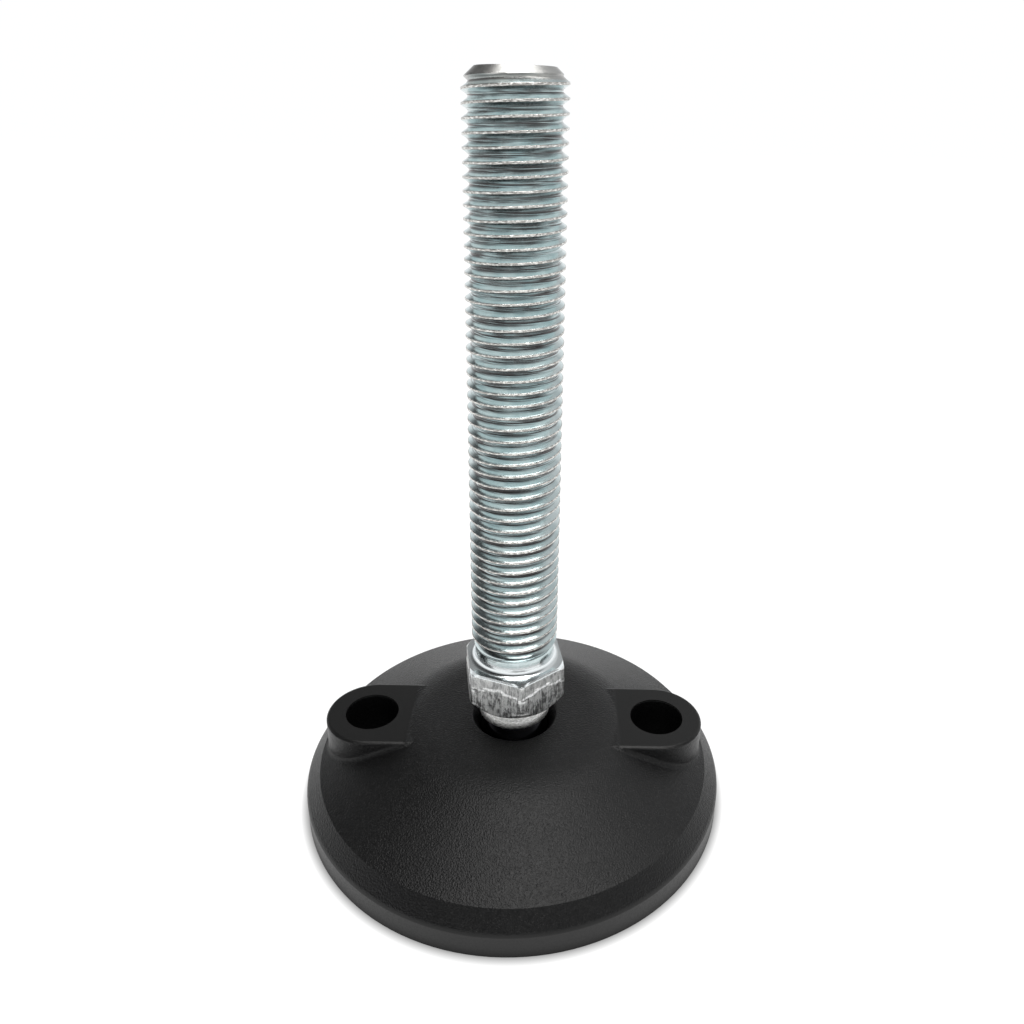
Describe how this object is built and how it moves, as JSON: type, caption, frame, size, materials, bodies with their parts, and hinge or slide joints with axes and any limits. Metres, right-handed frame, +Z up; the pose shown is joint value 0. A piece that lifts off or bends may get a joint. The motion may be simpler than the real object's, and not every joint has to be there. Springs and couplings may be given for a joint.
{
  "type": "articulated levelling foot",
  "caption": "Levelling foot: threaded steel stud with spanner hexagon and ball end, swivelling in a round ribbed plastic base with fixing lugs.",
  "frame": {"origin": "axis of the base in the plane it stands on", "axes": "+Z up along the upright stud; the two fixing lugs lie along X"},
  "size_m": [0.1, 0.1, 0.1616],
  "materials": {
    "black_polyamide": "spark-eroded matt black, smooth on the rim and lug tops",
    "cap_polyamide": "smooth moulded black",
    "acetal": "natural white, smooth",
    "zinc_plated_steel": "bright zinc plate with a blue passivation, rolled thread"
  },
  "bodies": {
    "base": {"base_housing": "black_polyamide", "bottom_cap": "cap_polyamide"},
    "cup": {"thrust_cup": "acetal"},
    "stud": {"ball_stud": "zinc_plated_steel"}
  },
  "joints": [
    {"name": "stud_turn", "type": "hinge", "parent": "base", "child": "cup", "pos_m": [0, 0, 0.01251], "axis": [0, 0, 1], "continuous": true},
    {"name": "stud_tilt", "type": "hinge", "parent": "cup", "child": "stud", "pos_m": [0, 0, 0.01251], "axis": [1, 0, 0], "range_deg": [-10, 10]}
  ]
}
